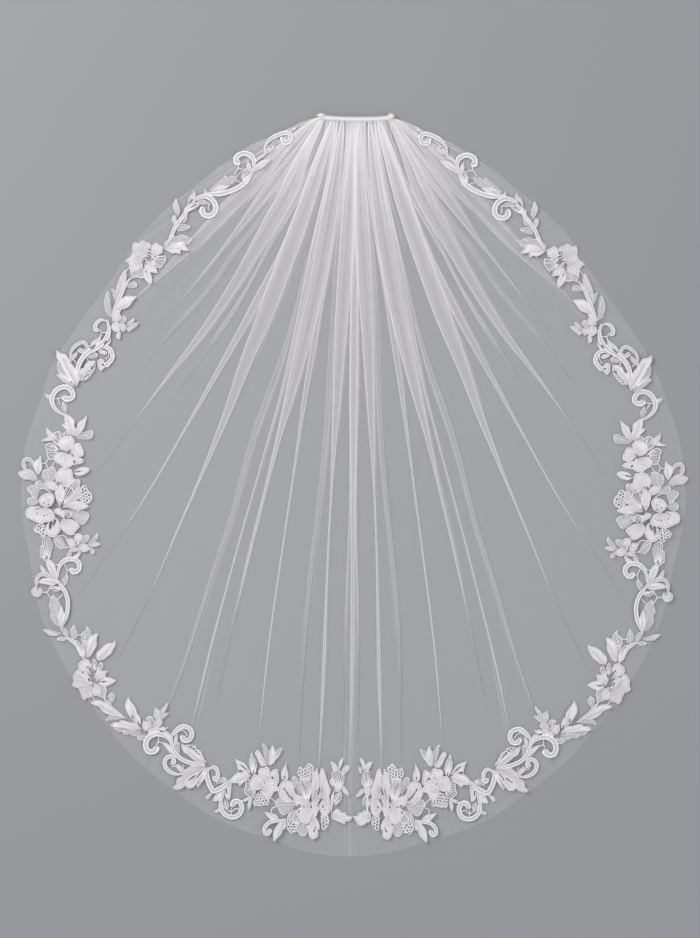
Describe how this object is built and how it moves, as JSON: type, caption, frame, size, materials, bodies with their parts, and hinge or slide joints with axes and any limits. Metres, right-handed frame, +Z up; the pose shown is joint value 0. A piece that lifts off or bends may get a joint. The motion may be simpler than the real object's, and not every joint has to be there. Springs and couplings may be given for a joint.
{
  "type": "veil",
  "caption": "One-tier bridal veil of fine net laid flat as a round fan, gathered on a short hair comb, with a border of corded floral lace.",
  "frame": {"origin": "middle of the veil's outline, on the surface it lies on", "axes": "+Y runs from the tail to the comb, +X to the right as seen from above, +Z up"},
  "size_m": [0.925, 1.0272, 0.008],
  "materials": {
    "tulle": "sheer fine net, matt",
    "lace": "satin stitched thread",
    "thread": "matt cream thread",
    "comb": "glossy"
  },
  "bodies": {
    "root": {"comb": "comb", "gathered_header": "tulle", "lace_flower_bottom_left": "lace", "lace_flower_bottom_right": "lace", "lace_flower_hem_left": "lace", "lace_flower_hem_right": "lace", "lace_flower_lower_left": "lace", "lace_flower_lower_right": "lace", "lace_flower_shoulder_left": "lace", "lace_flower_shoulder_right": "lace", "lace_flower_side_left": "lace", "lace_flower_side_right": "lace", "lace_flower_small_left": "lace", "lace_flower_small_right": "lace", "lace_flower_upper_left": "lace", "lace_flower_upper_right": "lace", "lace_ring_hem_left": "lace", "lace_ring_hem_right": "lace", "lace_scroll_hem_left": "lace", "lace_scroll_hem_right": "lace", "lace_scroll_lower_left": "lace", "lace_scroll_lower_right": "lace", "lace_scroll_shoulder_left": "lace", "lace_scroll_shoulder_right": "lace", "lace_scroll_side_left": "lace", "lace_scroll_side_right": "lace", "lace_scroll_top_left": "lace", "lace_scroll_top_right": "lace", "lace_scroll_upper_left": "lace", "lace_scroll_upper_right": "lace", "lace_spray_bottom_left": "lace", "lace_spray_bottom_right": "lace", "lace_spray_upper_left": "lace", "lace_spray_upper_right": "lace", "lace_sprig_lower_left": "lace", "lace_sprig_lower_right": "lace", "lace_sprig_shoulder_left": "lace", "lace_sprig_shoulder_right": "lace", "lace_sprig_side_left": "lace", "lace_sprig_side_right": "lace", "lace_stem_lower_left": "lace", "lace_stem_lower_right": "lace", "thread_knot_left": "thread", "thread_knot_right": "thread", "tulle_net": "tulle"}
  },
  "joints": []
}
